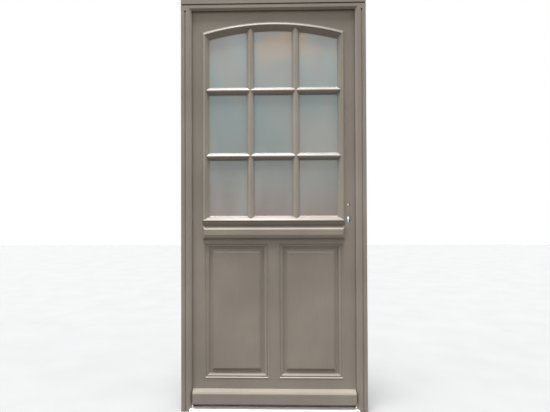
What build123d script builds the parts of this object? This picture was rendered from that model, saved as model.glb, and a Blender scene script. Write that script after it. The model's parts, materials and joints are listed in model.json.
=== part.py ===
from build123d import *
import os
from math import cos, pi, radians, sin, sqrt

# A half-glazed panelled front door in its frame, in millimetres.
# X runs to the right seen from outside, Y into the house, Z up. The origin is at the middle of the
# threshold's underside, in the plane of the frame's outer face.

# Frame
frame_width = 960
frame_height = 2150
jamb_face = 55
head_face = 68
stop_depth = 18
rebate_step = 15
frame_chamfer = 10
jamb_groove_offset = 34
jamb_groove = 3.6
head_groove_offset = 22.5
head_groove = 4.8
groove_stop = 7
jamb_tenon = (24, 16, 40)
outer_arris = 3

# Wall fixings through the jambs
fixing_radius = 5
fixing_inset = 27
fixing_ends = (400, 850)

# Threshold
threshold_height = 20
threshold_nose = 14
threshold_nose_height = 10
nose_lap = 12
threshold_round = 2
threshold_lip = 2
cap_width = 14
cap_height = 16
cap_inset = 3
cap_hollow = 0.36

# Seals
seal_gap = 4
seal_offset = 3
seal_width = 7
seal_lip = 1.5
bottom_seal_width = 10
bottom_seal_inset = 7
bottom_seal_lip = 2
running_gap = 0.3

# Leaf
leaf_thickness = 54
leaf_gap = 3
leaf_bottom_gap = 6
stile_width = 100
mullion_width = 99
bottom_rail_height = 163
middle_rail_height = 163
spindle_above_panels = 224
tenon_thickness = 16
tenon_length = 50
tenon_shoulder = 22
middle_tenon_height = 70
mullion_tenon = 30

# Moulding worked on the edges of stiles and rails: shares of its width and depth, from its outer edge
sticking_width = 26
sticking_depth = 10
sticking_steps = ((1, 0), (0.8, 0.126), (0.58, 0.45), (0.47, 0.45), (0.2, 0.8), (0.06, 1))

# Raised and fielded panels
panel_setback = 15
groove_depth = 12
panel_play = 2
field_margin = 12
field_bevel = 14
field_rise = 8

# Glazing
top_rail_height = 113
arch_radius = 1290.5
sight_cover = 1.5
glass_rebate = 15
glass_edge_gap = 3
glass_stop = 16
pane_thickness = 4
spacer_depth = 16
spacer_width = 9

# Proud moulding round the glazing: its steps are shares of its width, and of its height back from
# the crest. The sill's nose and hollow are given as drop from the bevel's end and depth from the nose.
moulding_width = 36
moulding_proud = 14
moulding_reveal = 3
moulding_steps = ((0.14, 1.14), (0.25, 0.64), (0.44, 0.36), (0.69, 0.21), (0.74, 0.39),
                  (0.79, 0.06), (0.875, 0), (0.96, 0.18))
sill_height = 47
sill_bevel = 20
sill_proud = 20
sill_lip = 4
sill_nose = ((-1.5, 0.6), (1.5, 0.2), (4, 3))
sill_hollow = ((6, 8), (11, 9), (17, 12.5))
sill_end_bevel = 8

# Glazing bars
bar_width = 39
bar_fillet = 5
bar_crest = 5
bar_outer_height = 22
bar_inner_height = 13
bar_bulge = (0.62, 0.56)
bar_end_play = (0.5, 2)
bar_rises = (0.322, 0.675)
lights_across = 3

# Drip moulding and weatherboard
drip_end = 34
drip_above_panels = 45
drip_hollow = 23
drip_face = 28.5
drip_bevel = 18
drip_proud = 22
drip_curve = (0.72, 0.3)
drip_lip = 2
drip_end_bevel = 13
weather_gap = 4
weather_rise = 17
weather_face = 53
weather_bevel = 16
weather_proud = 30
weather_round = 3
weather_drip_radius = 3
weather_drip_inset = 7

# Hinges
hinge_end = 200
hinge_height = 140
hinge_plate = 2.5
hinge_plate_depth = 40
knuckle_radius = 7
knuckle_standoff = 8
pin_radius = 4
pin_play = 0.05
pin_shortfall = 6
hinge_screw_spots = ((-50, 14), (0, 26), (50, 14))

# Screws
screw_head_radius = 4
screw_radius = 2
screw_length = 28
screw_sides = 6

# Mortise lock
backset = 45
spindle_height = 1067
lock_centres = 70
case_above = 50
case_below = 45
case_depth = 72
case_thickness = 15
case_wall = 1.2
faceplate_thickness = 3
faceplate_width = 20
faceplate_overrun = 35
faceplate_screw_inset = 13
cylinder_radius = 8.5
cylinder_slot_width = 10
cylinder_drop = 24.5
wood_clearance = 1.5
spindle_hole_radius = 7
lock_play = 0.3
hub_radius = 9
spindle_square = 8
arm_radius = 21
arm_half_width = 3
follower_turn = 30
latch_rise = 30
latch_height = 28
latch_bevel = 9
latch_tip = 3
latch_root = 7
bolt_width = 12
tail_height = 8
tail_thickness = 5
lug_width = 8
lug_rise = 5
lug_gap = 0.5
bolt_height = 34
bolt_throw = 20
bolt_tail_height = 6
bolt_flush = 0.5

# Strike plate in the lock jamb
strike_thickness = 2.5
strike_width = 24
strike_overrun = 30
strike_play = 2
strike_height_play = 3
strike_screw_inset = 10
pocket_extra = 3

# Places worked out from the sizes above
clear_width = frame_width - 2 * jamb_face
clear_top = frame_height - head_face
leaf_face = stop_depth + seal_gap
leaf_back = leaf_face + leaf_thickness
leaf_middle = (leaf_face + leaf_back) / 2
frame_depth = leaf_back
half_frame = frame_width / 2
half_clear = clear_width / 2
half_rebate = half_clear + rebate_step
rebate_top = clear_top + rebate_step
half_leaf = half_rebate - leaf_gap
stile_inner = half_leaf - stile_width
half_mullion = mullion_width / 2
leaf_bottom = threshold_height + leaf_bottom_gap
leaf_top = clear_top + rebate_step - leaf_gap
panel_bottom = leaf_bottom + bottom_rail_height
panel_top = spindle_height - spindle_above_panels
glazing_bottom = panel_top + middle_rail_height
glazing_top = leaf_top - top_rail_height
bar_levels = [glazing_bottom + rise * (glazing_top - glazing_bottom) for rise in bar_rises]
drip_bottom = panel_top + drip_above_panels
drip_face_bottom = drip_bottom + drip_hollow
drip_face_top = drip_face_bottom + drip_face
drip_top = drip_face_top + drip_bevel
weather_bottom = leaf_bottom + weather_rise
weather_face_top = weather_bottom + weather_face
weather_top = weather_face_top + weather_bevel
hinge_levels = (leaf_bottom + hinge_end, (leaf_bottom + leaf_top) / 2, leaf_top - hinge_end)
fixing_heights = [*fixing_ends, *(frame_height - end for end in reversed(fixing_ends))]
sight_half = stile_inner - sight_cover
drip_half_width = stile_inner + drip_end
arch_centre = glazing_top - arch_radius
rail_top = glazing_bottom - sight_cover
rebate_offset = sight_cover + glass_rebate
glass_offset = rebate_offset - glass_edge_gap
glass_back = leaf_back - glass_stop
glass_front = glass_back - 2 * pane_thickness - spacer_depth
bar_pitch = (2 * sight_half + bar_width) / lights_across
bar_places = [(i - lights_across / 2) * bar_pitch for i in range(1, lights_across)]
lock_x = half_leaf - backset
cylinder_height = spindle_height - lock_centres
case_top = spindle_height + case_above
case_bottom = cylinder_height - case_below
plate_inner = half_leaf - faceplate_thickness
latch_level = spindle_height + latch_rise
latch_throw = arm_radius * sin(radians(follower_turn))
far = 2 * frame_height


def block(x, y, z):
    """A box between two values along each axis."""
    corner = (min(x), min(y), min(z))
    size = (max(x) - min(x), max(y) - min(y), max(z) - min(z))
    return Pos(*corner) * Box(*size, align=(Align.MIN, Align.MIN, Align.MIN))


def outline(start, *steps):
    """A flat face through points; a step of two points is an arc through the first to the second."""
    edges, here = [], start
    for step in steps + (start,):
        if isinstance(step[0], tuple):
            edges.append(ThreePointArc(here, step[0], step[1]))
            here = step[1]
        elif step != here:
            edges.append(Line(here, step))
            here = step
    return make_face(edges)


def arc_height(radius, x):
    """Height of an arc about the arch's centre, at a distance x from the middle."""
    return arch_centre + sqrt(radius**2 - x**2)


def mirrored(shape):
    return mirror(shape, about=Plane.YZ)


def to_inside(shape):
    """The same shape on the leaf's inner face."""
    return mirror(shape, about=Plane.XZ.offset(-leaf_middle))


class Opening:
    """A rectangular or arched opening that profiles run around. A profile's first coordinate is the
    distance outwards from the opening's edge, its second the depth Y."""

    def __init__(self, left, right, bottom, top, arched=False):
        self.left, self.right, self.bottom, self.top = left, right, bottom, top
        self.arched = arched

    def corner(self, side, level, offset):
        """A corner of the opening moved outwards by an offset."""
        x = self.right + offset if side > 0 else self.left - offset
        if level < 0:
            return (x, self.bottom - offset)
        if self.arched:
            return (x, arc_height(arch_radius + offset, x))
        return (x, self.top + offset)

    def sector(self, name, width):
        """The region of the face that one side owns, between the mitre lines at its ends."""
        ends = {"bottom": ((-1, -1), (1, -1)), "right": ((1, -1), (1, 1)),
                "top": ((1, 1), (-1, 1)), "left": ((-1, 1), (-1, -1))}[name]
        points = []
        for (side, level), order in zip(ends, ((-1, 4), (4, -1))):
            (x0, z0), (x1, z1) = (self.corner(side, level, o) for o in (0, width))
            points += [(x0 + (x1 - x0) * t, z0 + (z1 - z0) * t) for t in order]
        face = Plane.XZ * make_face(Polyline(*points, close=True))
        return extrude(face, far, both=True)

    def straight(self, name, profile):
        """The profile carried past both ends of one straight side."""
        middle = (self.bottom + self.top) / 2
        plane = {
            "left": Plane((self.left, 0, middle), x_dir=(-1, 0, 0), z_dir=(0, 0, -1)),
            "right": Plane((self.right, 0, middle), x_dir=(1, 0, 0), z_dir=(0, 0, 1)),
            "bottom": Plane((0, 0, self.bottom), x_dir=(0, 0, -1), z_dir=(1, 0, 0)),
            "top": Plane((0, 0, self.top), x_dir=(0, 0, 1), z_dir=(-1, 0, 0)),
        }[name]
        return extrude(plane * profile, frame_height / 2, both=True)

    def run(self, name, profile, width):
        """The profile along one side, mitred with its neighbours."""
        if self.arched and name == "top":
            plane = Plane((0, 0, self.top), x_dir=(0, 0, 1), z_dir=(-1, 0, 0))
            axis = Axis((0, 0, arch_centre), (0, 1, 0))
            swept = revolve(plane * profile, axis, 60).rotate(axis, -30)
        else:
            swept = self.straight(name, profile)
        return swept & self.sector(name, width)

    def around(self, profile, width):
        return [self.run(name, profile, width) for name in ("bottom", "right", "top", "left")]


glazing = Opening(-sight_half, sight_half, glazing_bottom, glazing_top, arched=True)
doorway = Opening(-half_clear, half_clear, 0, clear_top)
panel_openings = {
    "left": Opening(-stile_inner, -half_mullion, panel_bottom, panel_top),
    "right": Opening(half_mullion, stile_inner, panel_bottom, panel_top),
}


def arched_block(offset, y):
    """The glazing's outline, moved outwards by an offset, between two depths."""
    x = sight_half + offset
    low, corner = glazing_bottom - offset, arc_height(arch_radius + offset, x)
    face = outline((-x, low), (x, low), (x, corner), ((0, glazing_top + offset), (-x, corner)))
    solid = extrude(Plane.XZ * face, -(max(y) - min(y)))
    return Pos(0, min(y), 0) * solid


def sticking_profile(start):
    """What the moulding on an edge takes off, from an opening's edge outwards."""
    w, d = sticking_width, sticking_depth
    curve = [(start + out * w, back * d) for out, back in sticking_steps]
    face = make_face(Polyline((start - 1, -1), (start + w, -1), *curve, (start - 1, d), close=True))
    return Pos(0, leaf_face, 0) * face


def countersunk_screw():
    """A screw along +Z with its head's face at the origin, drawn with flat sides."""
    depth = (screw_head_radius - screw_radius) * cos(pi / screw_sides)
    head = extrude(RegularPolygon(screw_head_radius, screw_sides), depth, taper=45)
    shank = extrude(RegularPolygon(screw_radius, screw_sides), screw_length - depth)
    return head + Pos(0, 0, depth) * shank


def screws_at(places, direction):
    """One screw at each place, pointing along +X or -X."""
    turn = 90 if direction > 0 else -90
    return [Pos(*place) * Rot(0, turn, 0) * countersunk_screw() for place in places]


# Frame

def doorway_chamfer():
    """What the mitred chamfer round the doorway takes off."""
    c = frame_chamfer
    profile = make_face(Polyline((-1, -1), (c + 1, -1), (-1, c + 1), close=True))
    return [doorway.run(name, profile, c) for name in ("left", "top", "right")]


def groove_cut(width, length):
    """A half-octagon groove along +Z in the outer face."""
    return extrude(Rot(0, 0, 22.5) * RegularPolygon(width / 2, 8), length)


def jamb_tenon_block(play=0):
    width, thickness, length = jamb_tenon
    x = (half_rebate + half_frame) / 2
    y = (stop_depth + frame_depth) / 2
    return block((x - width / 2, x + width / 2), (y - thickness / 2, y + thickness / 2),
                 (rebate_top - 1, rebate_top + length + play))


def jamb_blank():
    """The lock jamb before its ironmongery, standing on the floor behind its front."""
    jamb = block((half_rebate, half_frame), (stop_depth, frame_depth), (0, rebate_top)) + jamb_tenon_block()
    y = stop_depth + fixing_inset
    for z in fixing_heights:
        jamb -= Pos(half_frame, y, z) * Rot(0, 90, 0) * Cylinder(fixing_radius, half_frame)
    return jamb


def jamb_front():
    """The grooved and chamfered front of the lock jamb, which stops the leaf."""
    front = block((half_clear, half_frame), (0, stop_depth), (0, clear_top))
    groove = Pos(half_clear + jamb_groove_offset, 0, 0) * groove_cut(jamb_groove, clear_top - groove_stop)
    arris = make_face(Polyline((1, -1), (1, outer_arris), (-outer_arris, -1), close=True))
    return front - groove - Pos(half_frame, 0, 0) * extrude(arris, clear_top) - doorway_chamfer()


def head():
    solid = block((-half_frame, half_frame), (stop_depth, frame_depth), (rebate_top, frame_height))
    mortise = jamb_tenon_block(1)
    return solid - mortise - mirrored(mortise)


def head_front():
    front = block((-half_frame, half_frame), (0, stop_depth), (clear_top, frame_height))
    groove = Rot(0, 90, 0) * groove_cut(head_groove, frame_width)
    return front - doorway_chamfer() - Pos(-half_frame, 0, clear_top + head_groove_offset) * groove


def threshold(fronts):
    """A sloped aluminium sill between the jambs' feet, lapping the chamfers in front."""
    h, n, top = threshold_height, threshold_nose, threshold_nose_height
    r, lip = threshold_round, threshold_lip
    bulge = r * (1 - cos(pi / 4))
    profile = outline(
        (-n, 0), (-n, top - r), ((-n + bulge, top - bulge), (-n + r, top)),
        (stop_depth - lip, h - lip / 2), (stop_depth, h), (frame_depth, h), (frame_depth, 0),
    )
    solid = extrude(Plane.YZ * profile, half_rebate, both=True)
    front = half_clear + nose_lap
    for side in (-1, 1):
        solid -= block((side * front, side * far), (-n - 1, 0), (-1, h + 1))
    return solid - fronts


def threshold_cap():
    """A small wedge that closes the threshold's end against the lock jamb."""
    x, z = half_clear, threshold_height
    face = outline((x, z), (x, z + cap_height),
                   ((x - cap_hollow * cap_width, z + cap_hollow * cap_height), (x - cap_width, z)))
    y = (cap_inset, stop_depth)
    cap = Pos(0, y[0], 0) * extrude(Plane.XZ * face, -(y[1] - y[0]))
    return cap + block((x - cap_width, x), y, (z, z + 1))


def frame_seal():
    """A bulb seal behind the stop, along both jambs and the head."""
    a, b, y = seal_offset, seal_offset + seal_width, stop_depth
    tip = leaf_face - running_gap
    profile = outline((a, y), (b, y), (b, y + seal_lip), (((a + b) / 2, tip), (a, y + seal_lip)))
    left, top, right = (doorway.run(n, profile, b) for n in ("left", "top", "right"))
    return (left + top + right) & block((-far, far), (0, far), (threshold_height, far))


# Hinges

pin_x = -(half_leaf + half_rebate) / 2
pin_y = leaf_back + knuckle_standoff


def hinge_plate_block(x, z):
    """A flat hinge plate between two heights, let in flush with the inner face."""
    return block(x, (leaf_back - hinge_plate_depth, leaf_back), z)


def knuckle(z):
    return Pos(pin_x, pin_y, min(z)) * extrude(Circle(knuckle_radius), max(z) - min(z))


def hinge_arm(x, z):
    """The stretch of plate that runs out to the pin and into its knuckle."""
    return block(x, (leaf_back - 1, pin_y), z)


def hinge_parts(level):
    """Frame half, leaf half and pin of the hinge at one height."""
    low, high = level - hinge_height / 2, level + hinge_height / 2
    frame_x = (-half_rebate - hinge_plate, -half_rebate)
    leaf_x = (-half_leaf, -half_leaf + hinge_plate)
    bore = Pos(pin_x, pin_y, low - 1) * extrude(Circle(pin_radius), hinge_height + 2)
    wide = Pos(pin_x, pin_y, low - 1) * extrude(Circle(pin_radius + pin_play), hinge_height + 2)
    lower, upper = (low, level), (level + running_gap, high)
    frame_half = hinge_plate_block(frame_x, (low, high)) + hinge_arm(frame_x, lower)
    frame_half = frame_half + knuckle(lower) - bore
    leaf_half = hinge_plate_block(leaf_x, (low, high)) + hinge_arm(leaf_x, upper)
    leaf_half = leaf_half + knuckle(upper) - wide
    pin = Pos(pin_x, pin_y, low) * extrude(Circle(pin_radius), hinge_height - pin_shortfall)
    return frame_half - frame_hinge_screws, leaf_half - leaf_hinge_screws, pin


def hinge_screw_places(x):
    return [(x, leaf_back - inset, level + rise)
            for level in hinge_levels for rise, inset in hinge_screw_spots]


frame_hinge_screws = screws_at(hinge_screw_places(-half_rebate), -1)
leaf_hinge_screws = screws_at(hinge_screw_places(-half_leaf), 1)


def hinge_recesses(x):
    return [hinge_plate_block(x, (level - hinge_height / 2, level + hinge_height / 2))
            for level in hinge_levels]


# Strike plate

def bolt_windows(y, z_play, x):
    """The two boxes that the latch and the bolt enter, between two values of X."""
    half = bolt_width / 2 + y
    spans = ((latch_level - latch_height / 2, latch_level + latch_height / 2), bolt_span())
    return [block(x, (leaf_middle - half, leaf_middle + half), (low - z_play, high + z_play))
            for low, high in spans]


def bolt_span():
    top = cylinder_height + cylinder_radius + 2 * wood_clearance + bolt_tail_height
    return (top - bolt_height, top)


def strike_span():
    return (bolt_span()[0] - strike_overrun, latch_level + latch_height / 2 + strike_overrun)


def strike_blank():
    half = strike_width / 2
    return block((half_rebate, half_rebate + strike_thickness),
                 (leaf_middle - half, leaf_middle + half), strike_span())


def strike_screws():
    low, high = strike_span()
    inset = strike_screw_inset
    places = [(half_rebate, leaf_middle, z) for z in (low + inset, (low + high) / 2, high - inset)]
    return screws_at(places, 1)


def strike_plate():
    solid = strike_blank()
    x = (half_rebate - 1, half_rebate + strike_thickness + 1)
    return solid - bolt_windows(strike_play, strike_height_play, x) - strike_screws()


def jamb_hinge():
    blank = mirrored(jamb_blank())
    recess = hinge_recesses((-half_rebate - hinge_plate, -half_rebate + 1))
    return blank - recess - frame_hinge_screws


def jamb_lock():
    depth = half_leaf + bolt_throw + pocket_extra
    pockets = bolt_windows(strike_play, strike_height_play, (half_rebate - 1, depth))
    return jamb_blank() - strike_blank() - pockets - strike_screws()


# Leaf frame

def panel_stickings():
    """What the moulded edges round both panels take off, on both faces."""
    outer = [run for o in panel_openings.values()
             for run in o.around(sticking_profile(0), sticking_width)]
    return outer + [to_inside(s) for s in outer]


def glass_stickings():
    """What the moulded edge round the glazing takes off the inner face."""
    return [to_inside(run) for run in glazing.around(sticking_profile(sight_cover), moulding_width)]


def panel_grooves():
    """The panels' tongues, which the grooves are cut for."""
    y = (leaf_face + panel_setback, leaf_back - panel_setback)
    g = groove_depth
    return [block((o.left - g, o.right + g), y, (o.bottom - g, o.top + g))
            for o in panel_openings.values()]


def tenon(x, z):
    half = tenon_thickness / 2
    return block(x, (leaf_middle - half, leaf_middle + half), z)


def rail_tenons(play=0):
    """Stub tenons of the three rails at the lock end, in height order."""
    x = (stile_inner - 1, stile_inner + tenon_length + play)
    return [tenon(x, z) for z in (
        (leaf_bottom + tenon_shoulder, panel_bottom - tenon_shoulder),
        (panel_top + tenon_shoulder, panel_top + middle_tenon_height),
        (arc_height(arch_radius, sight_half) + 2 * tenon_shoulder, leaf_top - tenon_shoulder),
    )]


def both_ends(solids):
    return solids + [mirrored(s) for s in solids]


def board(x, z):
    return block(x, (leaf_face, leaf_back), z)


def glass_cuts():
    """The through opening for the lights and the rebate that takes the glass from outside."""
    return [arched_block(sight_cover, (leaf_face - 1, leaf_back + 1)),
            arched_block(rebate_offset, (leaf_face - 1, glass_back))]


def cylinder_outline(play):
    """The key-shaped hole of a profile cylinder, about its centre."""
    r, w = cylinder_radius + play, cylinder_slot_width / 2 + play
    slot = Rectangle(2 * w, cylinder_drop + play - w, align=(Align.CENTER, Align.MAX))
    return Circle(r) + slot + Pos(0, -(cylinder_drop + play - w)) * Circle(w)


def through_leaf(face, x, z):
    """A face drawn about a point of the leaf, carried through its whole thickness."""
    return Pos(x, leaf_middle, z) * extrude(Plane.XZ * face, leaf_thickness, both=True)


def faceplate_span():
    return (case_bottom - faceplate_overrun, case_top + faceplate_overrun)


def faceplate_outline(x):
    """The faceplate or its recess, with round ends, between two values of X."""
    low, high = faceplate_span()
    half = faceplate_width / 2
    bar = block(x, (leaf_middle - half, leaf_middle + half), (low + half, high - half))
    length = max(x) - min(x)
    for z in (low + half, high - half):
        bar += Pos(min(x), leaf_middle, z) * Rot(0, 90, 0) * extrude(Circle(half), length)
    return bar


def case_block(play, x_end):
    half = case_thickness / 2 + play
    return block((plate_inner - case_depth - play, x_end),
                 (leaf_middle - half, leaf_middle + half), (case_bottom - play, case_top + play))


def faceplate_screws():
    low, high = faceplate_span()
    places = [(half_leaf, leaf_middle, z)
              for z in (low + faceplate_screw_inset, high - faceplate_screw_inset)]
    return screws_at(places, -1)


def stile_blank():
    """The lock stile before its ironmongery."""
    solid = board((stile_inner, half_leaf), (leaf_bottom, leaf_top))
    solid -= glass_cuts()
    return solid - glass_stickings() - panel_stickings() - panel_grooves() - rail_tenons(1)


def stile_lock(blank):
    cuts = [
        faceplate_outline((plate_inner, half_leaf + 1)),
        case_block(lock_play, half_leaf),
        through_leaf(cylinder_outline(wood_clearance), lock_x, cylinder_height),
        through_leaf(Circle(spindle_hole_radius), lock_x, spindle_height),
    ]
    return blank - cuts - faceplate_screws()


def stile_hinge(blank):
    recess = hinge_recesses((-half_leaf - 1, -half_leaf + hinge_plate))
    return mirrored(blank) - recess - leaf_hinge_screws


def rails():
    """Bottom, middle and arched top rail, each with a tenon at both ends."""
    tenons = rail_tenons()
    x = (-stile_inner, stile_inner)
    low = arc_height(arch_radius, sight_half) - moulding_width
    spans = ((leaf_bottom, panel_bottom), (panel_top, rail_top), (low, leaf_top))
    mortises = [tenon((-half_mullion + sticking_width, half_mullion - sticking_width), z)
                for z in mullion_tenon_spans(1)]
    solids = []
    for span, stub in zip(spans, tenons):
        rail = board(x, span) - glass_cuts() - glass_stickings() - panel_stickings()
        rail = rail - panel_grooves() - mortises
        solids.append(rail + both_ends([stub]))
    return solids


def mullion_tenon_spans(play=0):
    reach = mullion_tenon + play
    return ((panel_bottom - reach, panel_bottom + 1), (panel_top - 1, panel_top + reach))


def mullion():
    solid = board((-half_mullion, half_mullion), (panel_bottom, panel_top))
    solid = solid - panel_stickings() - panel_grooves()
    x = (-half_mullion + sticking_width, half_mullion - sticking_width)
    return solid + [tenon(x, z) for z in mullion_tenon_spans()]


def panel(opening):
    """A board with its tongue in the grooves and a raised field on each face."""
    g = groove_depth - panel_play
    face = leaf_face + panel_setback
    core = block((opening.left - g, opening.right + g), (face, leaf_back - panel_setback),
                 (opening.bottom - g, opening.top + g))
    x, z = (opening.left + opening.right) / 2, (opening.bottom + opening.top) / 2
    foot = field_margin
    top = field_margin + field_bevel
    width, height = opening.right - opening.left, opening.top - opening.bottom
    field = loft([
        Plane((x, face - rise, z), x_dir=(1, 0, 0), z_dir=(0, -1, 0))
        * Rectangle(width - 2 * inset, height - 2 * inset)
        for rise, inset in ((0, foot), (field_rise, top))
    ])
    return core + field + to_inside(field)


# Glazing

def glass_pane(front):
    return arched_block(glass_offset, (front, front + pane_thickness))


def glass_spacer():
    y = (glass_front + pane_thickness, glass_back - pane_thickness)
    return arched_block(glass_offset, y) - arched_block(glass_offset - spacer_width, y)


def moulding_profile():
    """The proud moulding over its tongue: steep reveal, broad round, quirk and outer bead, drawn in
    flats."""
    crest = leaf_face - moulding_proud
    curve = [(out * moulding_width, crest + back * moulding_proud) for out, back in moulding_steps]
    return make_face(Polyline(
        (0, glass_front), (0, glass_front - moulding_reveal), *curve, (moulding_width, leaf_face),
        (rebate_offset, leaf_face), (rebate_offset, glass_front), close=True,
    ))


def sill_profile():
    """The sill under the lights: top bevel, nose and hollow underside, as (drop, depth)."""
    y, h = leaf_face, sill_height
    nose = y - sill_proud
    round_start, *round_rest = [(sill_bevel + drop, nose + back) for drop, back in sill_nose]
    quirk, fillet, hollow = [(sill_bevel + drop, nose + back) for drop, back in sill_hollow]
    return outline((0, y), (0, glass_front - sill_lip), round_start, tuple(round_rest),
                   quirk, fillet, (hollow, (h, y - 1)), (h, y))


def glazing_sill():
    half = sight_half + moulding_width
    front = glazing.straight("bottom", sill_profile())
    solid = front & block((-half, half), (-far, leaf_face), (0, far))
    cut = make_face(Polyline((half, leaf_face), (half + 1, leaf_face), (half + 1, -far / 20),
                             (half - sill_end_bevel, leaf_face - sill_proud), close=True))
    for ends in both_ends([extrude(cut, far)]):
        solid -= ends
    tongue = sight_half + rebate_offset
    top = block((-tongue, tongue), (leaf_face, glass_front),
                (glazing_bottom - rebate_offset, glazing_bottom))
    foot = block((-tongue, tongue), (glass_front - sill_lip, glass_front),
                 (glazing_bottom - 1, glazing_bottom))
    return solid + top + foot


def glazing_mouldings(sill):
    """Arch, lock side and hinge side, mitred at the arch and coped on the sill."""
    profile = moulding_profile()
    everywhere = (-far, far)
    in_front = block(everywhere, (-far, leaf_face), (0, far))
    arch = glazing.run("top", profile, moulding_width)
    arch &= in_front + arched_block(rebate_offset, (leaf_face, glass_front))
    foot = glazing_bottom - sill_bevel
    below = Opening(-sight_half, sight_half, foot, glazing_top, arched=True)
    middle = (glazing_bottom + glazing_top) / 2
    side = glazing.straight("right", profile)
    side &= below.sector("right", moulding_width) + block((0, far), everywhere, (foot, middle))
    side &= block((0, far), everywhere, (foot, far))
    side -= block((0, far), (leaf_face, far), (0, glazing_bottom))
    side -= sill
    return arch, side, mirrored(side)


def bar_profile(base, height):
    """Cross-section of a glazing bar: fillets, two rounded bevels and a narrow crest, drawn across
    the bar and in depth from the glass towards the viewer."""
    sign = 1 if height > 0 else -1
    w, c, f = bar_width / 2, bar_crest / 2, base - sign * bar_fillet
    top = base - height
    bulge = (bar_bulge[0] * w, f + bar_bulge[1] * (top - f))
    return outline((-w, base), (-w, f), ((-bulge[0], bulge[1]), (-c, top)), (c, top),
                   (bulge, (w, f)), (w, base))


def bar_runs(base, height, reach):
    """Vertical and horizontal bars, straight past the opening by a reach, before their joints."""
    profile = bar_profile(base, height)
    zone = arched_block(reach, (leaf_face - far / 20, leaf_back + far / 20))
    verticals = [extrude(Pos(x, 0, 0) * profile, far) & zone for x in bar_places]
    plane = Plane((0, 0, 0), x_dir=(0, 0, 1), z_dir=(-1, 0, 0))
    levels = [extrude(Pos(0, 0, z) * (plane * profile), far / 2, both=True) & zone for z in bar_levels]
    return verticals, levels


def half_lapped(verticals, levels, split, front_sign):
    """Verticals run through in front of the split depth and level bars behind it."""
    near, away = split - front_sign * far / 20, split + front_sign * far / 20
    whole = (-far, far)
    front = block(whole, (near, split), whole)
    rear = block(whole, (split, away), whole)
    lapped_verticals = [v - [lv & rear for lv in levels] for v in verticals]
    lapped_levels = [lv - [v & front for v in verticals] for lv in levels]
    return lapped_verticals, lapped_levels


def outer_bars(against):
    reach = rebate_offset - bar_end_play[0]
    verticals, levels = bar_runs(glass_front, bar_outer_height, reach)
    verticals, levels = half_lapped(verticals, levels, glass_front - bar_fillet, 1)
    return [v - against for v in verticals], [lv - against for lv in levels]


def inner_bars(against):
    reach = sight_cover + sticking_width - bar_end_play[1]
    verticals, levels = bar_runs(glass_back, -bar_inner_height, reach)
    verticals, levels = half_lapped(verticals, levels, glass_back + bar_fillet, -1)
    return [v - against for v in verticals], [lv - against for lv in levels]


# Mouldings on the leaf

def drip_board():
    p, y = drip_proud, leaf_face
    hollow = (y - drip_curve[0] * p, drip_bottom + drip_curve[1] * drip_hollow)
    profile = outline(
        (y, drip_bottom), (hollow, (y - p + drip_lip, drip_face_bottom - drip_lip)),
        (y - p, drip_face_bottom), (y - p, drip_face_top), (y, drip_top),
    )
    w = drip_half_width
    solid = extrude(Plane.YZ * profile, w, both=True)
    cut = make_face(Polyline((w, y), (w + 1, y), (w + 1, y - p - 1), (w - drip_end_bevel, y - p - 1),
                             (w - drip_end_bevel, y - p), close=True))
    for ends in both_ends([extrude(cut, far)]):
        solid -= ends
    return solid


def weatherboard():
    """A board that throws rain off the foot of the leaf, with a drip groove underneath."""
    y, r, a = leaf_face, weather_drip_radius, weather_round
    front = y - weather_proud
    g = front + weather_drip_inset
    b, t = weather_bottom, weather_face_top
    profile = outline(
        (y, b), (y, weather_top), (front + a, t + a / 2), ((front + a / 4, t), (front, t - a)),
        (front, b), (g - r, b), ((g, b + r), (g + r, b)),
    )
    return extrude(Plane.YZ * profile, half_clear - weather_gap, both=True)


def leaf_bottom_seal():
    a = leaf_middle - bottom_seal_width / 2
    b = a + bottom_seal_width
    top, tip = leaf_bottom, threshold_height + running_gap
    lip = top - bottom_seal_lip
    profile = outline((a, top), (b, top), (b, lip), ((leaf_middle, tip), (a, lip)))
    return extrude(Plane.YZ * profile, half_leaf - bottom_seal_inset, both=True)


# Mortise lock

def lock_case():
    solid = case_block(0, plate_inner)
    inner = case_thickness / 2 - case_wall
    solid -= block((plate_inner - case_depth + case_wall, plate_inner + 1),
                   (leaf_middle - inner, leaf_middle + inner),
                   (case_bottom + case_wall, case_top - case_wall))
    solid -= through_leaf(Circle(hub_radius + pin_play), lock_x, spindle_height)
    return solid - through_leaf(cylinder_outline(0), lock_x, cylinder_height)


def lock_faceplate():
    solid = faceplate_outline((plate_inner, half_leaf))
    windows = bolt_windows(lock_play, lock_play, (plate_inner - 1, half_leaf + 1))
    return solid - windows - faceplate_screws()


def lock_follower():
    """The turning hub with its square hole and the arm that draws the latch, held drawn."""
    half = case_thickness / 2
    hub = extrude(Circle(hub_radius), half, both=True)
    bar = Rectangle(2 * arm_half_width, arm_radius, align=(Align.CENTER, Align.MIN))
    arm = extrude(bar + Pos(0, arm_radius) * Circle(arm_half_width), arm_half_width, both=True)
    solid = hub + arm - extrude(Rectangle(spindle_square, spindle_square), far, both=True)
    turned = Rot(0, 0, follower_turn) * solid
    return Pos(lock_x, leaf_middle, spindle_height) * Rot(90, 0, 0) * turned


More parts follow.
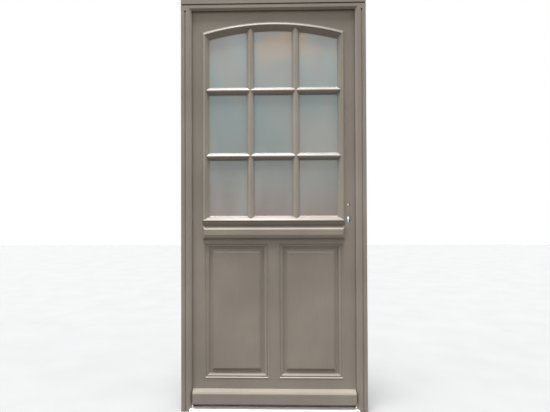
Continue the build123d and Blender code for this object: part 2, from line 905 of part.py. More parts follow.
def latch_bolt():
    """A bevelled head, a tail and the lug behind the follower's arm, drawn back into the case."""
    low, high = latch_level - latch_height / 2, latch_level + latch_height / 2
    tip, half = half_leaf - bolt_flush, bolt_width / 2
    y0, y1 = leaf_middle - half, leaf_middle + half
    root = lock_x + hub_radius + latch_root
    plan = make_face(Polyline((root, y0), (tip - latch_bevel, y0), (tip, y1 - latch_tip), (tip, y1),
                              (root, y1), close=True))
    top_view = Pos(0, 0, low) * extrude(plan, high - low)
    lug_x = lock_x - latch_throw - arm_half_width - lug_gap
    y = (leaf_middle - tail_thickness / 2, leaf_middle + tail_thickness / 2)
    z = (latch_level - tail_height / 2, latch_level + tail_height / 2)
    tail = block((lug_x - lug_width, root + 1), y, z)
    lug = block((lug_x - lug_width, lug_x), y, (spindle_height + hub_radius + lug_rise, z[1]))
    return top_view + tail + lug


def deadbolt():
    """A square-headed bolt in front of the cylinder, with its tail passing over it."""
    low, high = bolt_span()
    half, thin = bolt_width / 2, tail_thickness / 2
    clear = cylinder_radius + 2 * wood_clearance
    bolt = block((lock_x + clear, half_leaf - bolt_flush), (leaf_middle - half, leaf_middle + half),
                 (low, high))
    tail = block((lock_x - clear, lock_x + clear + 1), (leaf_middle - thin, leaf_middle + thin),
                 (high - bolt_tail_height, high))
    return bolt + tail


def frame_parts():
    front, cap = jamb_front(), threshold_cap()
    fronts = [front, mirrored(front)]
    return {
        "frame_head": head(),
        "frame_jamb_hinge": jamb_hinge(),
        "frame_jamb_lock": jamb_lock(),
        "frame_front_head": head_front(),
        "frame_front_lock": fronts[0],
        "frame_front_hinge": fronts[1],
        "threshold": threshold(fronts),
        "threshold_cap_lock": cap,
        "threshold_cap_hinge": mirrored(cap),
        "frame_seal": frame_seal(),
        "strike_plate": strike_plate(),
        "strike_screws": Compound(strike_screws()),
        "hinge_screws_frame": Compound(frame_hinge_screws),
    }


def hinges():
    """The halves one by one, the pins as a group."""
    parts, pins = {}, []
    for number, level in enumerate(hinge_levels, 1):
        frame_half, leaf_half, pin = hinge_parts(level)
        parts[f"hinge_frame_half_{number}"] = frame_half
        parts[f"hinge_leaf_half_{number}"] = leaf_half
        pins.append(pin)
    return {**parts, "hinge_pins": Compound(pins)}


def leaf_parts():
    stile = stile_blank()
    lower, middle, upper = rails()
    parts = {
        "stile_hinge": stile_hinge(stile),
        "stile_lock": stile_lock(stile),
        "bottom_rail": lower,
        "middle_rail": middle,
        "top_rail": upper,
        "mullion": mullion(),
        "drip_board": drip_board(),
        "weatherboard": weatherboard(),
        "leaf_bottom_seal": leaf_bottom_seal(),
        "hinge_screws_leaf": Compound(leaf_hinge_screws),
    }
    for side, opening in panel_openings.items():
        parts[f"panel_{side}"] = panel(opening)
    return parts


def glazing_parts():
    sill = glazing_sill()
    arch, lock_side, hinge_side = glazing_mouldings(sill)
    parts = {
        "glass_outer": glass_pane(glass_front),
        "glass_spacer": glass_spacer(),
        "glass_inner": glass_pane(glass_back - pane_thickness),
        "glazing_sill": sill,
        "glazing_moulding_arch": arch,
        "glazing_moulding_lock": lock_side,
        "glazing_moulding_hinge": hinge_side,
    }
    leaf_edges = inner_edge_blocks()
    for place, (verticals, levels) in {
        "outer": outer_bars([sill, arch, lock_side, hinge_side]),
        "inner": inner_bars(leaf_edges),
    }.items():
        for side, solid in zip(("left", "right"), verticals):
            parts[f"bar_{place}_vertical_{side}"] = solid
        for row, solid in zip(("lower", "upper"), levels):
            parts[f"bar_{place}_level_{row}"] = solid
    return parts


def inner_edge_blocks():
    """The moulded inner edge round the lights, which the inner bars are coped to."""
    depth = (glass_back, leaf_back)
    ring = arched_block(sight_cover + sticking_width + 1, depth) - arched_block(sight_cover, depth)
    return ring - glass_stickings()


def lock_parts():
    return {
        "lock_case": lock_case(),
        "lock_faceplate": lock_faceplate(),
        "lock_faceplate_screws": Compound(faceplate_screws()),
        "lock_follower": lock_follower(),
        "latch_bolt": latch_bolt(),
        "deadbolt": deadbolt(),
    }


os.makedirs("parts", exist_ok=True)
all_parts = {**frame_parts(), **hinges(), **leaf_parts(), **glazing_parts(), **lock_parts()}
for node, shape in all_parts.items():
    export_step(shape, f"parts/{node}.step")
print(len(all_parts), "parts")
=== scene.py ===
import json
import math

import bmesh
import bpy
from mathutils import Matrix, Vector


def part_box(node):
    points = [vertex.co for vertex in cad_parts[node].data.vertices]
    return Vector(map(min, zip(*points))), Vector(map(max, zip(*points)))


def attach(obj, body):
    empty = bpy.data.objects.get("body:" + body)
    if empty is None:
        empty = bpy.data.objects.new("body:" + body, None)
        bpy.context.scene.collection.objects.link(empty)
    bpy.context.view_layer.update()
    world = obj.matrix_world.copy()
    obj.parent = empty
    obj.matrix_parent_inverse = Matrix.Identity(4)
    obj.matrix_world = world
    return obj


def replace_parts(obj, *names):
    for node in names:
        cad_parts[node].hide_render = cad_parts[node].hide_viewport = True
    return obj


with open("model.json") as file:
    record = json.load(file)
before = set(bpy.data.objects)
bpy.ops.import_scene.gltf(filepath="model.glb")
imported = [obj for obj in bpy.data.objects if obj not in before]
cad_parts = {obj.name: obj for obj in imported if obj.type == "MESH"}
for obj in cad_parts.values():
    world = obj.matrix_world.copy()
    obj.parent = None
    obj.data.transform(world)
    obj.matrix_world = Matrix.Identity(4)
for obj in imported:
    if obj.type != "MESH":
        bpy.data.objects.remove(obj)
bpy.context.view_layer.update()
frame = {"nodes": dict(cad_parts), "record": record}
nodes = frame["nodes"]


def metres(line):
    """A profile given in millimetres."""
    return tuple((a / 1000, b / 1000) for a, b in line)


# Camera, in metres and degrees. Its lens and shift are fitted to an image of 550 x 412 pixels.
camera_place = (-0.0346, -2.3336, 1.0265)
camera_yaw, camera_pitch, camera_roll = 1.390, 0.634, -0.173
camera_sensor, camera_lens = 36, 29.566
camera_shift = (0.0348, 0.0029)
camera_clip = (0.05, 50)

# The sizes below are in metres, and angles are in degrees unless they say radians. X runs to the
# right seen from outside, Y into the door from its outer side, and Z up.
edge_rounding, edge_segments, edge_angle = 0.0006, 2, 30
sharp_angle = 32
board_sharp_angle, sill_sharp_angle, head_sharp_angle = 12, 24, 40
weld_distance, island_weld_distance = 1e-7, 1e-6
cut_past = 0.01  # how far a cutter stands out of what it cuts

# The leaf: its outer face, and the sum of its outer and inner faces' depths, which mirrors a point
leaf_face = 0.022
leaf_faces_sum = 0.098

# The lights' sight edge and the moulding round them: distance outwards from that edge, and depth.
# The arch's radius grows by arch_spread for each unit outwards, so its moulding widens.
sight_half = 0.3355
arch_radius = 1.2905
arch_centre = 0.6905
arch_spread = 1.2
arch_steps = 48
side_moulding_foot = 0.980
moulding_line = metres((
    (36, 22), (36, 21.4), (35.2, 19.6), (33, 16.6), (30, 13.4), (26.8, 10.6), (23.6, 8.7), (21, 8),
    (19.6, 8.3), (19, 9.6), (18.6, 11.6), (17.8, 11.2), (16.2, 12), (14.4, 14.4), (10, 20.2),
    (5, 27.2), (1.2, 32.2), (0, 33), (0, 36), (16.5, 36), (16.5, 22)))

# The sill under the lights: its section in the middle, and the block behind its bevel, as depth and
# height. Its ends shrink towards sill_middle along an arc sill_end long.
sill_line = metres((
    (22, 1002.5), (3.4, 988.2), (2.4, 986.6), (2, 985), (2.6, 983.2), (5, 981.6), (9.6, 979.4),
    (10.6, 975), (13.6, 969.4), (17.2, 964.4), (21, 959), (22, 959)))
sill_back_line = metres((
    (22, 991), (22, 1002.5), (31.2, 1009.6), (32, 1010), (36, 1010), (36, 991)))
sill_half, sill_end, sill_middle = 0.3715, 0.017, 0.979
sill_end_steps, sill_end_shift, sill_end_limit = 8, 0.02, 0.995

# The moulding round the panels: distance outwards from the opening, and depth
panel_line = metres((
    (25, 22.8), (24.6, 21.4), (22.8, 20.6), (20.8, 20.9), (19.2, 22.2), (17.6, 24.6),
    (16.8, 26.6), (15.4, 25.8), (13.6, 25.0), (11.4, 25.2), (9.2, 26.6), (6.2, 29.2), (3, 31.2),
    (1, 32.2), (1, 34), (4, 34), (14, 29), (22, 25)))
stile_edge, mullion_edge = 0.337, 0.0495
panel_foot, panel_head = 0.189, 0.843

# The weatherboard's section, as depth and height: two slopes, an upright face and a drip groove
weather_line = metres((
    (22, 43), (22, 112), (-2, 103), (-6.6, 96.4), (-8, 93), (-8, 43), (-4, 43), (-1, 46), (2, 43)))
weather_half = 0.421

# The grooves in the frame's fronts. The solid's own groove in the head lies lower: it is filled,
# from head_fill_drop below the new one's line up to head_fill_lap past the new one's foot.
jamb_groove_line, jamb_groove_width, jamb_groove_depth = 0.4578, 0.0056, 0.0036
jamb_groove_top = 2.0768
groove_end_radius, groove_end_depth, groove_end_sides = 0.0046, 0.009, 24
head_groove_line, head_groove_height, head_groove_depth = 2.1112, 0.0074, 0.009
head_fill_drop, head_fill_depth, head_fill_lap = 0.0108, 0.004, 0.0005
head_cut_half = 1  # runs past both ends of the head

# Screw heads: their outline as shares of the radius and the rise, and a cross recess with its floor
# as a share of the rise. Each head is turned by next_turn, in radians, from the one below it.
head_radius, head_rise, head_sides = 0.0046, 0.0006, 24
head_line = ((1, 0), (0.97, 0.45), (0.8, 0.85), (0.45, 1))
recess_half, recess_width, recess_floor = 0.0026, 0.0009, 0.2
first_turn, next_turn = 0.4, 1.7

# Paint, floor, sky and lamps; the sky's strength ahead of and behind the door, and beside it
# The second, paler taupe is a painted highlight: upright mouldings and glazing bars take it in place of
# the sky's sheen on their rounded faces.
taupe, sheen_taupe = (125, 117, 107), (133, 126, 115)
along_z, along_x = (1, 1, 0.04), (0.04, 1, 1)
floor_half = 12
floor_dark, floor_light = (0.27, 0.27, 0.267), (0.285, 0.285, 0.282)
floor_bounce = (0.062, 0.052, 0.040)
sky_level, sky_above = (0.36, 0.355, 0.34), (0.85, 0.86, 0.87)
sky_above_from = 0.8
sky_ahead, sky_beside = 0.55, 2.1
lamp_colour = (0.975, 0.98, 1.0)


def added(name, data):
    """An object of its own in the scene."""
    made = bpy.data.objects.new(name, data)
    bpy.context.scene.collection.objects.link(made)
    return made


def new_camera():
    data = bpy.data.cameras.new("camera")
    data.sensor_width = camera_sensor
    data.lens = camera_lens
    data.shift_x, data.shift_y = camera_shift
    data.clip_start, data.clip_end = camera_clip
    camera = added("camera", data)
    yaw, pitch, roll = (math.radians(a) for a in (camera_yaw, camera_pitch, camera_roll))
    turn = (Matrix.Rotation(yaw, 3, "Z") @ Matrix.Rotation(math.pi / 2 + pitch, 3, "X")
            @ Matrix.Rotation(roll, 3, "Z"))
    camera.matrix_world = Matrix.Translation(camera_place) @ turn.to_4x4()
    bpy.context.scene.camera = camera


# Materials

class Nodes:
    """A node tree with short helpers."""

    def __init__(self, tree):
        self.tree = tree
        tree.nodes.clear()

    def node(self, kind, inputs=None, **settings):
        made = self.tree.nodes.new(kind)
        for key, value in settings.items():
            setattr(made, key, value)
        for key, value in (inputs or {}).items():
            self.put(made.inputs[key], value)
        return made

    def put(self, socket, value):
        if isinstance(value, bpy.types.NodeSocket):
            self.tree.links.new(value, socket)
        else:
            socket.default_value = value

    def ramp(self, value, stops):
        made = self.node("ShaderNodeValToRGB", {"Fac": value})
        ramp = made.color_ramp
        while len(ramp.elements) < len(stops):
            ramp.elements.new(0.5)
        for element, (position, colour) in zip(ramp.elements, stops):
            element.position = position
            element.color = (*colour, 1)
        return made.outputs["Color"]

    def mapped(self, value, low, high, start=0.0, end=1.0):
        """A value from start to end, spread over low to high."""
        return self.node("ShaderNodeMapRange", {"Value": value, "From Min": start, "From Max": end,
                                                "To Min": low, "To Max": high}).outputs[0]

    def maths(self, kind, a, b=0.0):
        return self.node("ShaderNodeMath", {0: a, 1: b}, operation=kind).outputs[0]


class Shader(Nodes):
    """A material whose textures follow its object."""

    def __init__(self, name):
        self.material = bpy.data.materials.new(name)
        self.material.use_nodes = True
        super().__init__(self.material.node_tree)
        self.out = self.node("ShaderNodeOutputMaterial")
        self.place = self.node("ShaderNodeTexCoord").outputs["Object"]

    def noise(self, scale, detail, stretch=None, roughness=0.5):
        vector = self.place
        if stretch:
            inputs = {"Vector": self.place, "Scale": stretch}
            vector = self.node("ShaderNodeMapping", inputs).outputs[0]
        return self.node("ShaderNodeTexNoise", {"Vector": vector, "Scale": scale, "Detail": detail,
                                                "Roughness": roughness}).outputs["Fac"]

    def mixed(self, factor, a, b, blend="MIX"):
        a, b = (c if isinstance(c, bpy.types.NodeSocket) else (*c, 1) for c in (a, b))
        return self.node("ShaderNodeMix", {0: factor, 6: a, 7: b},
                         data_type="RGBA", blend_type=blend).outputs[2]

    def bump(self, height, strength, distance, normal=None):
        inputs = {"Height": height, "Strength": strength, "Distance": distance}
        if normal is not None:
            inputs["Normal"] = normal
        return self.node("ShaderNodeBump", inputs).outputs[0]

    def finish(self, **inputs):
        names = {key.replace("_", " ").title().replace("Ior", "IOR"): value
                 for key, value in inputs.items()}
        principled = self.node("ShaderNodeBsdfPrincipled", names)
        self.tree.links.new(principled.outputs[0], self.out.inputs[0])
        return self.material


def linear(r, g, b):
    """A colour given as on screen, from 11 to 255, as the shader's numbers."""
    return tuple(((c / 255 + 0.055) / 1.055) ** 2.4 for c in (r, g, b))


def shaded(colour, share):
    return tuple(c * share for c in colour)


def grey(level):
    return (level, level, level)


def paint(name, colour, along):
    """Satin paint on wood: a faint grain along the board, brush marks and slight unevenness."""
    s = Shader(name)
    base = linear(*colour)
    cloud = s.noise(scale=2.3, detail=3)
    grain = s.noise(scale=260, detail=4, stretch=along, roughness=0.65)
    brushed = s.noise(scale=35, detail=3, stretch=along)
    pores = s.noise(scale=900, detail=2)
    tone = s.ramp(cloud, ((0.35, shaded(base, 0.90)), (0.65, shaded(base, 1.10))))
    fine = s.ramp(grain, ((0.3, grey(0.93)), (0.7, grey(1.05))))
    relief = s.bump(grain, strength=0.16, distance=0.0006)
    relief = s.bump(pores, strength=0.05, distance=0.0003, normal=relief)
    return s.finish(base_color=s.mixed(0.6, tone, fine, "MULTIPLY"), specular_ior_level=0.45,
                    roughness=s.mapped(brushed, 0.34, 0.48), normal=relief)


def metal(name, colour, roughness, along=(1, 1, 1), share=1.0):
    """Metal with fine streaks; a share below 1 makes it duller and paler."""
    s = Shader(name)
    base = linear(*colour)
    streak = s.noise(scale=420, detail=3, stretch=along)
    return s.finish(base_color=s.ramp(streak, ((0.3, shaded(base, 0.94)), (0.7, base))),
                    roughness=s.mapped(streak, roughness * 0.8, roughness * 1.25),
                    metallic=share, normal=s.bump(streak, strength=0.08, distance=0.0002))


def plain(name, colour, roughness, scale=300, relief=0.12):
    """Plastic or rubber with a fine texture."""
    s = Shader(name)
    base = linear(*colour)
    spots = s.noise(scale, detail=3)
    return s.finish(base_color=s.ramp(spots, ((0.3, shaded(base, 0.9)), (0.7, base))),
                    roughness=s.mapped(spots, roughness * 0.85, roughness * 1.15),
                    normal=s.bump(spots, relief, distance=0.0003))


def glass(name, foot=1.0, head=2.0):
    """Translucent glass: soft tints from foot to head, a painted warm reflection near the head and a
    faintly rippled face.
    """
    s = Shader(name)
    height = s.node("ShaderNodeSeparateXYZ", {"Vector": s.place}).outputs["Z"]
    share = s.mapped(height, 0.0, 1.0, foot, head)
    rising = s.ramp(share, ((0.0, linear(142, 128, 121)), (0.22, linear(136, 142, 139)),
                            (0.6, linear(138, 152, 151)), (0.95, linear(166, 172, 171))))
    wide = s.noise(scale=2.7, detail=1.5, stretch=(1.8, 1, 0.7))
    near = s.noise(scale=4.5, detail=1)
    ripple = s.noise(scale=38, detail=2)
    clouded = s.ramp(wide, ((0.42, grey(0)), (0.62, grey(0.7))))
    rising = s.mixed(clouded, rising, linear(158, 156, 151))
    # A warm patch near the head, where the two masks meet, is a painted reflection.
    high = s.ramp(share, ((0.76, grey(0)), (0.95, grey(0.85))))
    painted_reflection = s.ramp(near, ((0.46, grey(0)), (0.62, grey(1))))
    tone = s.mixed(s.mixed(1.0, high, painted_reflection, "MULTIPLY"), rising, linear(186, 168, 150))
    return s.finish(base_color=tone, roughness=0.42, metallic=0.45, transmission_weight=0.2,
                    ior=1.45, normal=s.bump(ripple, strength=0.10, distance=0.002),
                    coat_weight=0.6, coat_roughness=0.03)


paint_up = paint("paint_upright", taupe, along_z)
paint_level = paint("paint_level", taupe, along_x)
# A paler copy of the paint: a painted highlight for upright mouldings and bars.
paint_sheen = paint("paint_painted_sheen", sheen_taupe, along_z)
aluminium = metal("threshold_aluminium", (244, 242, 240), roughness=0.45, along=(0.02, 1, 1),
                  share=0.35)
spacer_metal = metal("spacer_aluminium", (190, 190, 188), roughness=0.4, along=(0.05, 1, 0.05))
zinc = metal("hinge_zinc", (188, 187, 182), roughness=0.34)
nickel = metal("lock_nickel", (196, 194, 186), roughness=0.28)
pale_plastic = plain("cap_plastic", (214, 206, 192), roughness=0.5)
rubber = plain("seal_rubber", (38, 34, 31), roughness=0.75, scale=700, relief=0.2)
pane = glass("translucent_glass")

level_nodes = {"frame_head", "frame_front_head", "bottom_rail", "middle_rail", "top_rail",
               "drip_board", "weatherboard", "glazing_sill", "glazing_moulding_arch"}
slot_materials = {"threshold_metal": aluminium, "cap_plastic": pale_plastic,
                  "seal_rubber": rubber, "glass": pane, "spacer_metal": spacer_metal,
                  "hinge_steel": zinc, "lock_steel": nickel}
soft_boards = ("frame_head", "frame_jamb_hinge", "frame_jamb_lock", "stile_hinge", "stile_lock",
               "bottom_rail", "middle_rail", "top_rail", "mullion", "panel_left", "panel_right",
               "drip_board", "threshold_cap_hinge", "threshold_cap_lock", "strike_plate",
               "lock_faceplate", "latch_bolt", "deadbolt")


def dress(name, material):
    mesh = nodes[name].data
    mesh.materials.clear()
    mesh.materials.append(material)


def soften(name):
    """Rounds a node's sharp edges a little."""
    made = nodes[name].modifiers.new("soft_edges", "BEVEL")
    made.width = edge_rounding
    made.segments = edge_segments
    made.limit_method = "ANGLE"
    made.angle_limit = math.radians(edge_angle)
    made.use_clamp_overlap = True
    made.harden_normals = True


def dress_nodes():
    for name in soft_boards:
        soften(name)
    for part in frame["record"]["subparts"]:
        name, slot = part["node"], part["material_slot"]
        if slot == "painted_wood":
            level = name in level_nodes or "_level_" in name
            # Upright bars take the paler paint, a painted highlight.
            upright = paint_sheen if "_vertical_" in name else paint_up
            dress(name, paint_level if level else upright)
        else:
            dress(name, slot_materials[slot])


# Pieces drawn over the plain solids

def crease(mesh, sharp):
    """Smooths a mesh but for the edges sharper than the given angle."""
    work = bmesh.new()
    work.from_mesh(mesh)
    bmesh.ops.remove_doubles(work, verts=work.verts, dist=weld_distance)
    bmesh.ops.recalc_face_normals(work, faces=work.faces)
    for face in work.faces:
        face.smooth = True
    limit = math.radians(sharp)
    for edge in work.edges:
        edge.smooth = len(edge.link_faces) == 2 and edge.calc_face_angle() < limit
    work.to_mesh(mesh)
    work.free()


def make_piece(name, points, faces, material, body, sharp=sharp_angle):
    """A piece that moves with a body."""
    mesh = bpy.data.meshes.new(name)
    mesh.from_pydata(points, [], faces)
    made = added(name, mesh)
    crease(mesh, sharp)
    mesh.materials.append(material)
    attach(made, body)
    return made


def skin(size, rings, start=0, closed=False):
    """The faces between rings of points that follow each other, capped unless they close."""
    loops = [range(start + i * size, start + (i + 1) * size) for i in range(rings)]
    after = loops[1:] + loops[:1] if closed else loops[1:]
    faces = [(a[k], a[(k + 1) % size], b[(k + 1) % size], b[k])
             for a, b in zip(loops, after) for k in range(size)]
    return faces if closed else faces + [tuple(loops[0]), tuple(loops[-1])]


def swept(name, line, path, material, body, flip=1):
    """A moulding whose every profile point follows its own path, so that mitred ends meet."""
    rows = [path(out) for out, _ in line]
    count = len(rows[0])
    points = [(flip * row[i][0], depth, row[i][1])
              for i in range(count) for row, (_, depth) in zip(rows, line)]
    return make_piece(name, points, skin(len(line), count), material, body)


def arch_path(out):
    """Over the arch, from mitre to mitre."""
    radius = arch_radius + out * arch_spread
    half = math.asin((sight_half + out) / radius)
    turns = [half * (2 * i / arch_steps - 1) for i in range(arch_steps + 1)]
    return [(radius * math.sin(a), arch_centre + radius * math.cos(a)) for a in turns]


def side_path(out):
    """Up the side, from behind the sill's rounded end to the arch's mitre."""
    x = sight_half + out
    top = arch_centre + math.sqrt((arch_radius + out * arch_spread) ** 2 - x ** 2)
    return [(x, side_moulding_foot), (x, top)]


def glazing_mouldings():
    arch = swept("arch_moulding", moulding_line, arch_path, paint_level, "leaf")
    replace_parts(arch, "glazing_moulding_arch")
    for side, flip in (("lock", 1), ("hinge", -1)):
        # The side mouldings take the paler paint, a painted highlight.
        made = swept("side_moulding_" + side, moulding_line, side_path, paint_sheen, "leaf", flip)
        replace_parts(made, "glazing_moulding_" + side)


def reshaped(made, cuts, fills=()):
    """An object's mesh with the given solids filled in and then others cut away."""
    tools = (*fills, *cuts)
    for tool in tools:
        bpy.context.scene.collection.objects.link(tool)
        step = made.modifiers.new("cut", "BOOLEAN")
        step.operation = "UNION" if tool in fills else "DIFFERENCE"
        step.solver, step.object = "EXACT", tool
    bpy.context.view_layer.update()
    shown = made.evaluated_get(bpy.context.evaluated_depsgraph_get())
    finished = bpy.data.meshes.new_from_object(shown)
    made.modifiers.clear()
    for tool in tools:
        bpy.data.objects.remove(tool)
    return finished


def carved(name, node, cuts, material, body, fills=()):
    """A reshaped copy of a node, in its place."""
    made = added(name, nodes[node].data.copy())
    finished = reshaped(made, cuts, fills)
    made.data = finished
    finished.name = name
    crease(finished, sharp_angle)
    finished.materials.clear()
    finished.materials.append(material)
    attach(made, body)
    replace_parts(made, node)


def cutter(low, high):
    """A box to cut with."""
    mesh = bpy.data.meshes.new("cutter")
    work = bmesh.new()
    bmesh.ops.create_cube(work, size=1)
    for vert in work.verts:
        for axis in range(3):
            vert.co[axis] = low[axis] if vert.co[axis] < 0 else high[axis]
    work.to_mesh(mesh)
    work.free()
    return bpy.data.objects.new("cutter", mesh)


def drill(x, z, radius, depth):
    """A short round cutter in the outer face."""
    mesh = bpy.data.meshes.new("drill")
    work = bmesh.new()
    place = Matrix.Translation((x, 0, z)) @ Matrix.Rotation(math.pi / 2, 4, "X")
    bmesh.ops.create_cone(work, cap_ends=True, segments=groove_end_sides, radius1=radius,
                          radius2=radius, depth=2 * depth, matrix=place)
    work.to_mesh(mesh)
    work.free()
    return bpy.data.objects.new("drill", mesh)


def frame_fronts():
    """The grooves in the frame's outer face, and the cutter's round mark on each jamb."""
    x, z, half = jamb_groove_line, jamb_groove_top, jamb_groove_width / 2
    for side, sign in (("lock", 1), ("hinge", -1)):
        left, right = sorted((sign * (x - half), sign * (x + half)))
        cuts = [cutter((left, -cut_past, -cut_past), (right, jamb_groove_depth, z)),
                drill(sign * x, z, groove_end_radius, groove_end_depth)]
        carved("jamb_front_" + side, "frame_front_" + side, cuts, paint_up, "frame")
    foot, top = (head_groove_line + sign * head_groove_height / 2 for sign in (-1, 1))
    cut = cutter((-head_cut_half, -cut_past, foot), (head_cut_half, head_groove_depth, top))
    low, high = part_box("frame_front_head")
    fill = cutter((low[0], 0, head_groove_line - head_fill_drop),
                  (high[0], head_fill_depth, foot + head_fill_lap))
    carved("head_front", "frame_front_head", [cut], paint_level, "frame", [fill])


def framed(name, line, opening, body, inner):
    """A moulding mitred round a rectangular opening, on the leaf's outer or inner face."""
    left, right, bottom, top = opening
    corners = ((left, bottom, -1, -1), (right, bottom, 1, -1),
               (right, top, 1, 1), (left, top, -1, 1))
    points = [(x + across * out, leaf_faces_sum - depth if inner else depth, z + up * out)
              for x, z, across, up in corners for out, depth in line]
    faces = skin(len(line), len(corners), closed=True)
    made = make_piece(name, points, faces, paint_level, body)
    made.data.materials.append(paint_up)
    for polygon in made.data.polygons:
        box = [made.data.vertices[v].co for v in polygon.vertices]
        tall = max(c.z for c in box) - min(c.z for c in box)
        wide = max(c.x for c in box) - min(c.x for c in box)
        polygon.material_index = int(tall > wide)


def panel_mouldings():
    for side, left, right in (("left", -stile_edge, -mullion_edge),
                              ("right", mullion_edge, stile_edge)):
        for face in ("outer", "inner"):
            opening = (left, right, panel_foot, panel_head)
            framed(f"panel_moulding_{side}_{face}", panel_line, opening, "leaf", face == "inner")


def extruded(name, line, half, material, body):
    """A board across the door, its line given as depth and height."""
    points = [(x, depth, height) for x in (-half, half) for depth, height in line]
    return make_piece(name, points, skin(len(line), 2), material, body, board_sharp_angle)


def sill_board():
    """The sill: its ends rounded in plan and in height, with a block behind its bevel."""
    steps = range(sill_end_steps)
    ends = [(-1, 1 - (i + sill_end_shift) / sill_end_steps) for i in steps]
    ends += [(1, (i + 1 + sill_end_shift) / sill_end_steps) for i in steps]
    points = []
    for side, share in ends:
        share = min(sill_end_limit, share)
        keep = math.sqrt(1 - share ** 2)
        x = side * (sill_half - sill_end * (1 - share))
        points += [(x, leaf_face + (depth - leaf_face) * keep,
                    sill_middle + (height - sill_middle) * keep) for depth, height in sill_line]
    faces = skin(len(sill_line), len(ends))
    faces += skin(len(sill_back_line), 2, start=len(points))
    points += [(x, depth, height) for x in (-sight_half, sight_half)
               for depth, height in sill_back_line]
    return make_piece("glazing_sill_board", points, faces, paint_level, "leaf", sill_sharp_angle)


def screw_head():
    """The mesh of one raised head with a cross recess, on its axis along +X."""
    mesh = bpy.data.meshes.new("head")
    work = bmesh.new()
    angles = [math.tau * k / head_sides for k in range(head_sides)]
    rings = [[work.verts.new((rise * head_rise, across * head_radius * math.cos(a),
                              across * head_radius * math.sin(a))) for a in angles]
             for across, rise in head_line]
    for inner, outer in zip(rings[1:], rings):
        for k in range(head_sides):
            after = (k + 1) % head_sides
            work.faces.new((outer[k], outer[after], inner[after], inner[k]))
    work.faces.new(rings[0])
    work.faces.new(rings[-1])
    bmesh.ops.recalc_face_normals(work, faces=work.faces)
    work.to_mesh(mesh)
    work.free()
    head = added("head", mesh)
    arms = ((recess_half, recess_width / 2), (recess_width / 2, recess_half))
    cuts = [cutter((head_rise * recess_floor, -long, -wide), (cut_past, long, wide))
            for long, wide in arms]
    finished = reshaped(head, cuts)
    bpy.data.objects.remove(head)
    return finished


def islands(mesh):
    """The low and high corner of each loose part of a mesh, from the lowest part up."""
    work = bmesh.new()
    work.from_mesh(mesh)
    bmesh.ops.remove_doubles(work, verts=work.verts, dist=island_weld_distance)
    left, found = set(work.verts), []
    while left:
        part, edge = set(), [left.pop()]
        while edge:
            vert = edge.pop()
            part.add(vert)
            near = {e.other_vert(vert) for e in vert.link_edges} & left
            left -= near
            edge += near
        places = [v.co.copy() for v in part]
        low = Vector(min(c[i] for c in places) for i in range(3))
        high = Vector(max(c[i] for c in places) for i in range(3))
        found.append((low, high))
    work.free()
    return sorted(found, key=lambda pair: pair[0].z)


def screws(name, node, sign, material, body, head):
    """Heads on the ends of a node's screws that face +X or -X, each turned its own way."""
    work = bmesh.new()
    side = Matrix.Identity(4) if sign > 0 else Matrix.Rotation(math.pi, 4, "Z")
    for i, (low, high) in enumerate(islands(nodes[node].data)):
        middle = (low + high) / 2
        place = Vector((high.x if sign > 0 else low.x, middle.y, middle.z))
        turn = Matrix.Rotation(first_turn + next_turn * i, 4, "X")
        start = len(work.verts)
        work.from_mesh(head)
        work.verts.ensure_lookup_table()
        bmesh.ops.transform(work, matrix=Matrix.Translation(place) @ side @ turn,
                            verts=work.verts[start:])
    mesh = bpy.data.meshes.new(name)
    work.to_mesh(mesh)
    work.free()
    made = added(name, mesh)
    crease(mesh, head_sharp_angle)
    mesh.materials.clear()
    mesh.materials.append(material)
    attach(made, body)


dress_nodes()
panel_mouldings()
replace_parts(sill_board(), "glazing_sill")
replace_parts(extruded("weather_board", weather_line, weather_half, paint_level, "leaf"), "weatherboard")
head_shape = screw_head()
screws("screw_heads_frame", "hinge_screws_frame", 1, zinc, "frame", head_shape)
screws("screw_heads_leaf", "hinge_screws_leaf", -1, zinc, "leaf", head_shape)
screws("screw_heads_strike", "strike_screws", -1, nickel, "frame", head_shape)
screws("screw_heads_faceplate", "lock_faceplate_screws", 1, nickel, "leaf", head_shape)
glazing_mouldings()
frame_fronts()


# Floor, background and light

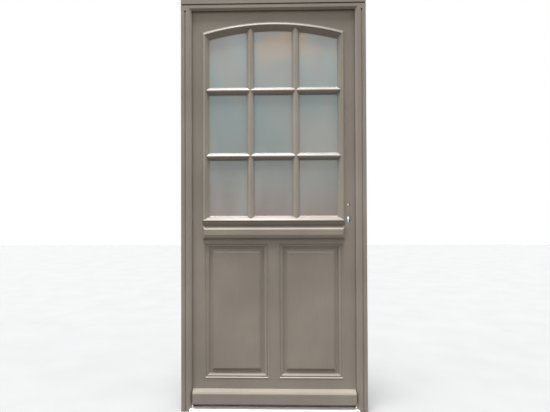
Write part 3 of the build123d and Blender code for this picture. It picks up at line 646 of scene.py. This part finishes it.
def floor():
    """A pale floor for the camera, which throws little and warm light back on the object."""
    mesh = bpy.data.meshes.new("floor")
    size = floor_half
    corners = [(-size, -size, 0), (size, -size, 0), (size, size, 0), (-size, size, 0)]
    mesh.from_pydata(corners, [], [(0, 1, 2, 3)])
    made = added("floor", mesh)
    s = Shader("pale_floor")
    pale = s.ramp(s.noise(scale=3, detail=2), ((0.3, floor_dark), (0.7, floor_light)))
    bounced = s.node("ShaderNodeLightPath").outputs["Is Diffuse Ray"]
    tone = s.mixed(bounced, pale, floor_bounce)
    mesh.materials.append(s.finish(base_color=tone, roughness=0.8))


def background():
    """White to the camera, in metal and through glass; a soft sky for the light on the object."""
    world = bpy.data.worlds.new("soft_light")
    bpy.context.scene.world = world
    world.use_nodes = True
    w = Nodes(world.node_tree)
    path = w.node("ShaderNodeLightPath").outputs
    clear = w.maths("MAXIMUM", path["Is Transmission Ray"], path["Is Glossy Ray"])
    seen = w.maths("MAXIMUM", path["Is Camera Ray"], clear)
    direction = w.node("ShaderNodeTexCoord").outputs["Generated"]
    split = w.node("ShaderNodeSeparateXYZ", {0: direction}).outputs
    colour = w.ramp(split["Z"], ((0.0, sky_level), (sky_above_from, sky_above)))
    strength = w.mapped(w.maths("ABSOLUTE", split["X"]), sky_ahead, sky_beside)
    soft = w.node("ShaderNodeBackground", {"Color": colour, "Strength": strength})
    white = w.node("ShaderNodeBackground", {"Color": (1, 1, 1, 1)})
    mix = w.node("ShaderNodeMixShader", {0: seen, 1: soft.outputs[0], 2: white.outputs[0]})
    w.node("ShaderNodeOutputWorld", {0: mix.outputs[0]})


def sun(name, elevation, azimuth, strength, angle):
    """A distant soft lamp; azimuth 0 is straight in front of the door, positive to the right."""
    data = bpy.data.lights.new(name, "SUN")
    data.energy = strength
    data.angle = math.radians(angle)
    data.color = lamp_colour
    made = added(name, data)
    e, a = math.radians(elevation), math.radians(azimuth)
    towards = Vector((math.cos(e) * math.sin(a), -math.cos(e) * math.cos(a), math.sin(e)))
    made.rotation_euler = towards.to_track_quat("Z", "Y").to_euler()


floor()
background()
sun("top_light", elevation=78, azimuth=-14, strength=6.3, angle=22)
sun("left_light", elevation=25, azimuth=-78, strength=1.4, angle=60)
sun("right_light", elevation=25, azimuth=78, strength=1.1, angle=60)
new_camera()
bpy.context.scene.view_settings.view_transform = "Standard"
